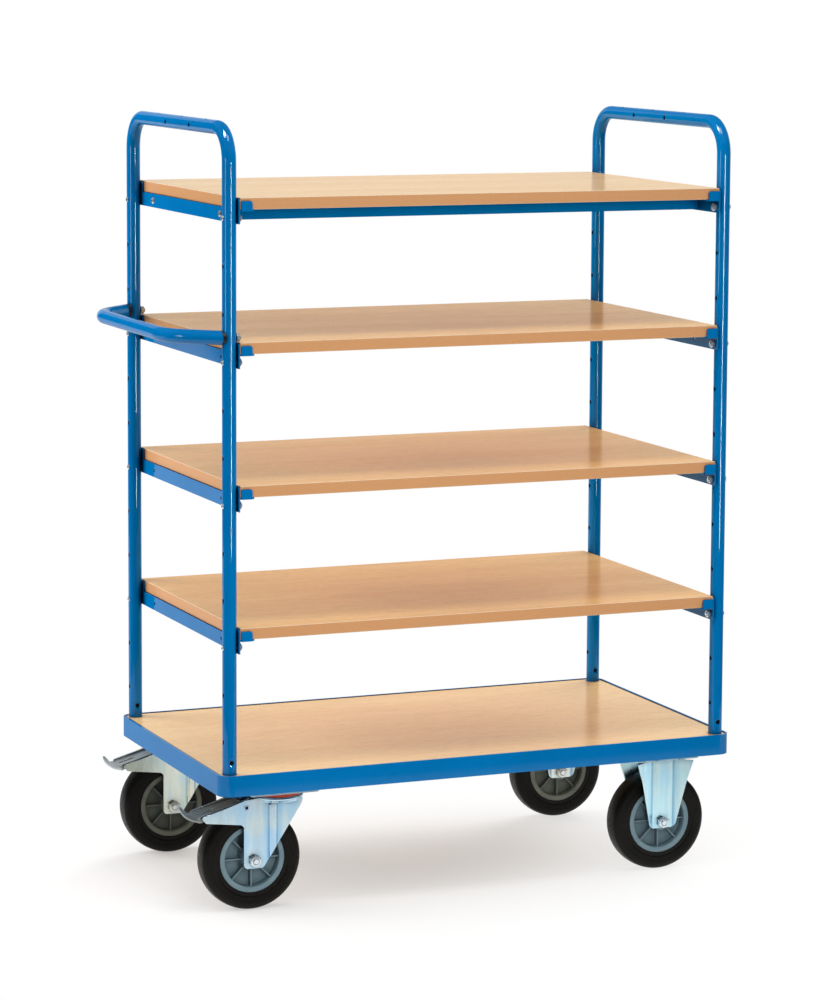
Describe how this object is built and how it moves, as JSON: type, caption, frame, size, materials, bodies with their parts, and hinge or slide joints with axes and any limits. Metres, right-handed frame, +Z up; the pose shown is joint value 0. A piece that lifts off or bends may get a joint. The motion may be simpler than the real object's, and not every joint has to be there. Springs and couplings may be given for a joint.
{
  "type": "shelf trolley",
  "caption": "Shelf trolley: wooden shelves bolted between bent tube end frames on a steel base frame, with a push handle, braked swivel castors and fixed castors.",
  "frame": {"origin": "on the floor, under the middle of the overall box", "axes": "+X from the push handle to the fixed castors, +Y from front to back, +Z up"},
  "size_m": [1.1644, 0.62, 1.506],
  "materials": {
    "blue_paint": "gloss",
    "board": "satin",
    "zinc": "bright zinc",
    "tyre": "matte",
    "rim": "satin",
    "seal": "satin",
    "black_plastic": "satin"
  },
  "bodies": {
    "chassis": {"base_frame": "blue_paint", "castor_bolts": "zinc", "castor_nuts": "zinc", "deck_board": "board", "fixed_axle_bolts": "zinc", "fixed_axle_nuts": "zinc", "fixed_axle_sleeves": "zinc", "fixed_fork_back": "zinc", "fixed_fork_front": "zinc", "handle_nuts": "zinc", "handle_saddles": "black_plastic", "handle_studs": "zinc", "kingpins": "zinc", "left_end_frame": "blue_paint", "post_screws": "zinc", "post_spigots": "zinc", "push_handle": "blue_paint", "rail_bolts": "zinc", "rail_left_bottom": "blue_paint", "rail_left_lower": "blue_paint", "rail_left_top": "blue_paint", "rail_left_upper": "blue_paint", "rail_nuts": "zinc", "rail_right_bottom": "blue_paint", "rail_right_lower": "blue_paint", "rail_right_top": "blue_paint", "rail_right_upper": "blue_paint", "right_end_frame": "blue_paint", "shelf_board_bottom": "board", "shelf_board_lower": "board", "shelf_board_top": "board", "shelf_board_upper": "board", "stiffening_bar_back": "blue_paint", "stiffening_bar_bolts": "zinc", "stiffening_bar_front": "blue_paint", "stiffening_bar_nuts": "zinc", "swivel_balls": "zinc", "swivel_plates": "zinc", "swivel_seals": "seal"},
    "swivel_front": {"swivel_fork_front": "zinc", "brake_pins_front": "zinc", "axle_bolt_front": "zinc", "axle_nut_front": "zinc", "axle_sleeve_front": "zinc"},
    "brake_front": {"brake_pedal_front": "zinc"},
    "wheel_front_left": {"rim_front_left": "rim", "tyre_front_left": "tyre"},
    "wheel_front_right": {"rim_front_right": "rim", "tyre_front_right": "tyre"},
    "swivel_back": {"swivel_fork_back": "zinc", "brake_pins_back": "zinc", "axle_bolt_back": "zinc", "axle_nut_back": "zinc", "axle_sleeve_back": "zinc"},
    "brake_back": {"brake_pedal_back": "zinc"},
    "wheel_back_left": {"rim_back_left": "rim", "tyre_back_left": "tyre"},
    "wheel_back_right": {"rim_back_right": "rim", "tyre_back_right": "tyre"}
  },
  "joints": [
    {"name": "swivel_front", "type": "hinge", "parent": "chassis", "child": "swivel_front", "pos_m": [-0.3618, -0.24, 0.2192], "axis": [0, 0, 1], "continuous": true},
    {"name": "wheel_spin_front_left", "type": "hinge", "parent": "swivel_front", "child": "wheel_front_left", "pos_m": [-0.4168, -0.24, 0.1], "axis": [0, 1, 0], "continuous": true},
    {"name": "brake_press_front", "type": "hinge", "parent": "swivel_front", "child": "brake_front", "pos_m": [-0.4328, -0.24, 0.2035], "axis": [0, -1, 0], "range_deg": [0, 8], "stiffness_Nm_per_rad": 1.5, "springref_deg": -17.19},
    {"name": "wheel_spin_front_right", "type": "hinge", "parent": "chassis", "child": "wheel_front_right", "pos_m": [0.4482, -0.24, 0.1], "axis": [0, 1, 0], "continuous": true},
    {"name": "swivel_back", "type": "hinge", "parent": "chassis", "child": "swivel_back", "pos_m": [-0.3618, 0.24, 0.2192], "axis": [0, 0, 1], "continuous": true},
    {"name": "wheel_spin_back_left", "type": "hinge", "parent": "swivel_back", "child": "wheel_back_left", "pos_m": [-0.4168, 0.24, 0.1], "axis": [0, 1, 0], "continuous": true},
    {"name": "brake_press_back", "type": "hinge", "parent": "swivel_back", "child": "brake_back", "pos_m": [-0.4328, 0.24, 0.2035], "axis": [0, -1, 0], "range_deg": [0, 8], "stiffness_Nm_per_rad": 1.5, "springref_deg": -17.19},
    {"name": "wheel_spin_back_right", "type": "hinge", "parent": "chassis", "child": "wheel_back_right", "pos_m": [0.4482, 0.24, 0.1], "axis": [0, 1, 0], "continuous": true}
  ]
}
